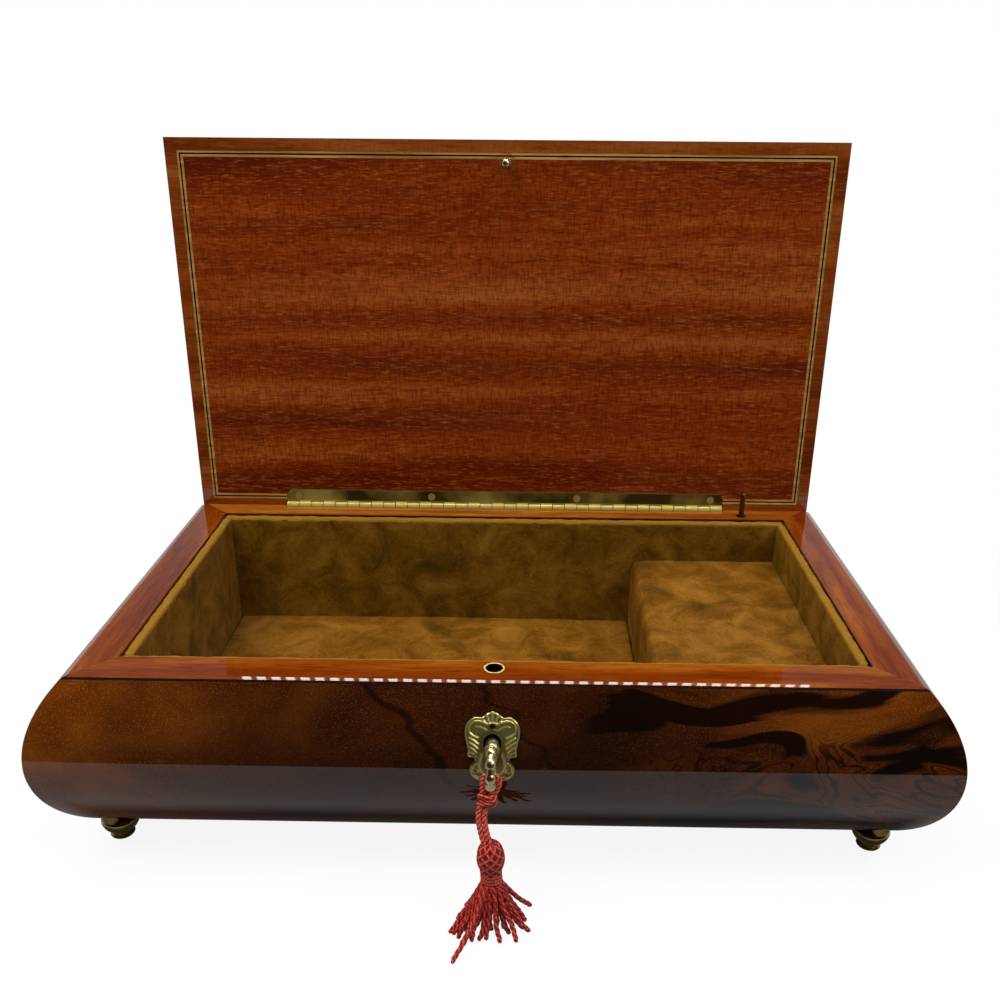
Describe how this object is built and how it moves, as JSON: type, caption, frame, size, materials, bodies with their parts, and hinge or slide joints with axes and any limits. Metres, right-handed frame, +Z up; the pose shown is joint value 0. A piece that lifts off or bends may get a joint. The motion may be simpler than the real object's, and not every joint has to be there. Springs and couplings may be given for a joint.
{
  "type": "musical jewelry box",
  "caption": "Bombe wooden jewelry box with a hinged inlaid lid, plush lining, lock with key and tassel, brass feet and a cylinder movement in a bay at the right.",
  "frame": {"origin": "on the table plane, under the middle of the rim", "axes": "+X to the right along the hinge, +Y to the rear, +Z up; the lid is stored open"},
  "size_m": [0.3272, 0.2412, 0.2447],
  "materials": {
    "walnut": "gloss lacquered burr walnut",
    "mahogany": "gloss lacquered mahogany",
    "figured_veneer": "gloss lacquered ribbon-figured veneer",
    "pale_inlay": "gloss lacquered pale line",
    "dark_inlay": "gloss lacquered dark line",
    "plain_wood": "plain plywood",
    "plush": "gold-brown plush",
    "red_cord": "red viscose cord",
    "bright_brass": "polished brass",
    "antique_brass": "darkened cast brass",
    "steel": "bright steel"
  },
  "bodies": {
    "box": {"front_wall": "walnut", "rear_wall": "walnut", "left_wall": "walnut", "right_wall": "walnut", "rim_front": "mahogany", "rim_rear": "mahogany", "rim_left": "mahogany", "rim_right": "mahogany", "base_panel": "plain_wood", "foot_front_left": "bright_brass", "foot_front_right": "bright_brass", "foot_rear_left": "bright_brass", "foot_rear_right": "bright_brass", "foot_screws": "steel", "front_lining": "plush", "rear_lining": "plush", "left_lining": "plush", "right_lining": "plush", "floor_lining": "plush", "bay_lining": "plush", "bay_partition": "plain_wood", "bay_top_board": "plain_wood", "hinge_lower_leaf": "bright_brass", "hinge_pin": "steel", "latch_ferrule": "bright_brass", "lock_case": "steel", "escutcheon": "antique_brass", "escutcheon_pins": "antique_brass", "movement_bedplate": "bright_brass", "movement_screws": "steel", "music_comb": "steel", "comb_screws": "steel", "governor_frame": "bright_brass", "rod_bush": "antique_brass"},
    "lid": {"lid_panel": "walnut", "lid_border": "mahogany", "lid_pale_lines": "pale_inlay", "lid_dark_line": "dark_inlay", "lid_field": "figured_veneer", "strike_pin": "bright_brass", "hinge_upper_leaf": "bright_brass", "hinge_screws": "bright_brass"},
    "key": {"key": "bright_brass", "lock_cam": "steel"},
    "lock_bolt": {"lock_bolt": "steel"},
    "tassel": {"tassel_cord": "red_cord", "tassel_head": "red_cord", "tassel_skirt": "red_cord"},
    "stop_rod": {"stop_rod": "antique_brass"},
    "stop_lever": {"stop_lever": "steel"},
    "cylinder": {"music_cylinder": "bright_brass", "drive_wheel": "bright_brass"},
    "spring_barrel": {"spring_barrel": "bright_brass", "mainspring": "steel"},
    "winding": {"winding_arbor": "steel", "winding_key": "steel"},
    "click": {"winding_click": "steel"},
    "governor": {"governor_wheel": "bright_brass"},
    "fan": {"governor_fan": "steel"}
  },
  "joints": [
    {"name": "lid_hinge", "type": "hinge", "parent": "box", "child": "lid", "pos_m": [0, 0.0832, 0.07615], "axis": [1, 0, 0], "range_deg": [0, 92]},
    {"name": "stop_rod_slide", "type": "slide", "parent": "box", "child": "stop_rod", "axis": [0, 0, 1], "range_m": [-0.012, 0]},
    {"name": "stop_lever_turn", "type": "hinge", "parent": "box", "child": "stop_lever", "pos_m": [0.1161, 0.0575, 0.043], "axis": [1, 0, 0], "range_deg": [-38.94, 0]},
    {"name": "key_turn", "type": "hinge", "parent": "box", "child": "key", "pos_m": [0, -0.11148, 0.0585], "axis": [0, 1, 0], "range_deg": [0, 90]},
    {"name": "bolt_slide", "type": "slide", "parent": "box", "child": "lock_bolt", "axis": [1, 0, 0], "range_m": [0, 0.00566]},
    {"name": "tassel_swing", "type": "hinge", "parent": "key", "child": "tassel", "pos_m": [0, -0.11148, 0.0529], "axis": [0, 1, 0], "range_deg": [-90, 0]},
    {"name": "winding_key_turn", "type": "hinge", "parent": "box", "child": "winding", "pos_m": [0.10215, -0.04, 0.013], "axis": [0, 0, 1], "continuous": true},
    {"name": "click_turn", "type": "hinge", "parent": "box", "child": "click", "pos_m": [0.11157, -0.04845, 0.0172], "axis": [0, 0, 1], "range_deg": [-10, 0], "stiffness_Nm_per_rad": 0.0005},
    {"name": "cylinder_spin", "type": "hinge", "parent": "box", "child": "cylinder", "pos_m": [0.10215, 0, 0.0349], "axis": [0, 1, 0], "continuous": true},
    {"name": "barrel_spin", "type": "hinge", "parent": "box", "child": "spring_barrel", "pos_m": [0.10215, -0.04, 0.0242], "axis": [0, 0, 1], "continuous": true},
    {"name": "governor_spin", "type": "hinge", "parent": "box", "child": "governor", "pos_m": [0.11335, 0, 0.0349], "axis": [0, 1, 0], "continuous": true},
    {"name": "fan_spin", "type": "hinge", "parent": "box", "child": "fan", "pos_m": [0.12105, 0.0383, 0.0349], "axis": [0, 0, 1], "continuous": true}
  ],
  "couplings": [
    {"joint": "stop_rod_slide", "follows": "lid_hinge", "m_per_rad": -0.0074671},
    {"joint": "stop_lever_turn", "follows": "lid_hinge", "ratio": -0.42286},
    {"joint": "key_turn", "follows": "bolt_slide", "rad_per_m": 277.53},
    {"joint": "tassel_swing", "follows": "bolt_slide", "rad_per_m": -277.53},
    {"joint": "barrel_spin", "follows": "cylinder_spin", "ratio": 0.45455},
    {"joint": "governor_spin", "follows": "cylinder_spin", "ratio": -6},
    {"joint": "fan_spin", "follows": "cylinder_spin", "ratio": -120}
  ]
}
